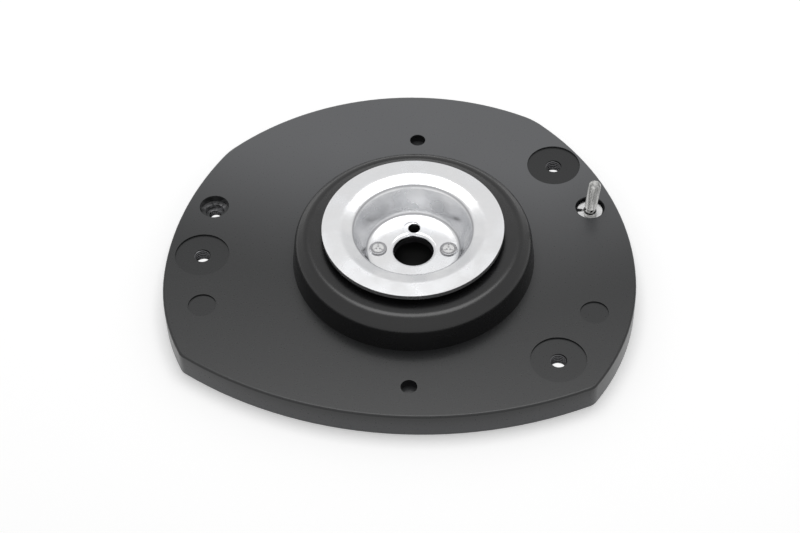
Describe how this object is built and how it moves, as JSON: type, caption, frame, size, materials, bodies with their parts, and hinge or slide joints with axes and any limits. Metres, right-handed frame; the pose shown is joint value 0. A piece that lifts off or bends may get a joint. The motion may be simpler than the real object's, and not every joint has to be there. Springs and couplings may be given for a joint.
{
  "type": "strut mount",
  "caption": "Strut top mount: black ribbed cast plate with threaded tower holes, bonded rubber bush, steel cup with a rod hole and a leaning locating stud.",
  "frame": {"origin": "on the damper rod's axis, level with the cast plate's top face, where the rod's shoulder seats under the hub", "axes": "+Z along the rod's axis and out of the cup's mouth; +X towards the side with the locating stud, +Y away from the viewer of the picture"},
  "size_m": [0.2277, 0.2082, 0.0355],
  "materials": {
    "cast_plate": "black coated die casting, satin with a fine grain",
    "rubber": "smooth moulded black rubber",
    "sleeve_steel": "black coated pressed steel",
    "cup_steel": "bright zinc plated drawn steel",
    "hub_steel": "dark phosphated pressed steel",
    "rivet_steel": "zinc plated, staked heads",
    "stud_steel": "zinc plated, threaded",
    "washer_steel": "bright spring steel"
  },
  "bodies": {
    "plate": {"mount_plate": "cast_plate", "rubber_bush": "rubber", "outer_sleeve": "sleeve_steel", "locating_stud": "stud_steel", "retaining_washer": "washer_steel"},
    "core": {"upper_cup": "cup_steel", "lower_cup": "hub_steel", "rivet_left": "rivet_steel", "rivet_right": "rivet_steel"}
  },
  "joints": [
    {"name": "core_axial", "type": "slide", "parent": "plate", "child": "core", "axis": [0, 0, 1], "range_m": [-0.004, 0.004], "stiffness_N_per_m": 50000, "deforming": ["rubber_bush"]}
  ]
}
